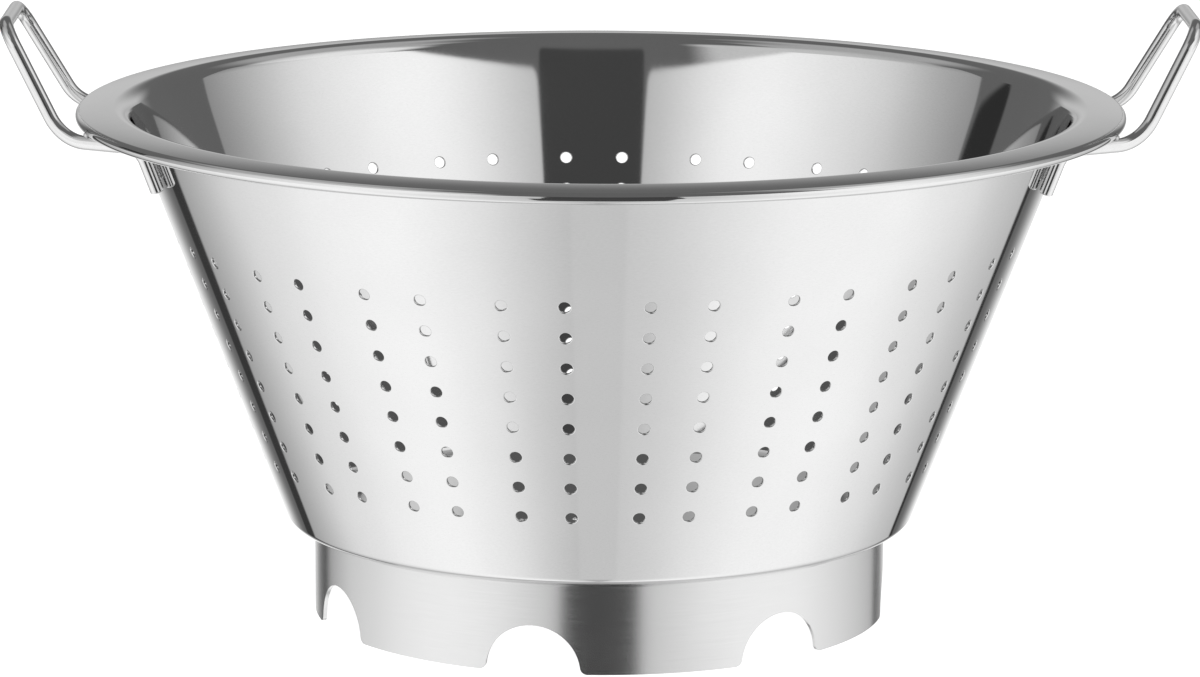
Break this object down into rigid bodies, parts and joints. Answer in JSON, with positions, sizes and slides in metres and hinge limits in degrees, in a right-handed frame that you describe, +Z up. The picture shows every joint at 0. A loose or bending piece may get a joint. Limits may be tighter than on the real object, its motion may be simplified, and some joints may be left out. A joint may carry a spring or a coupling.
{
  "type": "colander",
  "caption": "Conical sheet-steel colander with a broad hemmed brim, upright rows of drain holes, an arched foot ring and bent wire handles.",
  "frame": {"origin": "on the table, under the axis of the bowl", "axes": "+Z up along the bowl's axis, the wire handles along +X and -X, the pictured side towards -Y"},
  "size_m": [0.4088, 0.36, 0.2094],
  "materials": {
    "polished_steel": "mirror-polished stainless steel sheet",
    "satin_steel": "satin stainless steel sheet, brushed around the ring",
    "wire_steel": "polished round stainless steel wire",
    "weld_steel": "bare weld metal"
  },
  "bodies": {
    "root": {"bowl": "polished_steel", "foot_ring": "satin_steel", "foot_ring_welds": "weld_steel", "handle_right": "wire_steel", "handle_left": "wire_steel", "handle_right_welds": "weld_steel", "handle_left_welds": "weld_steel"}
  },
  "joints": []
}
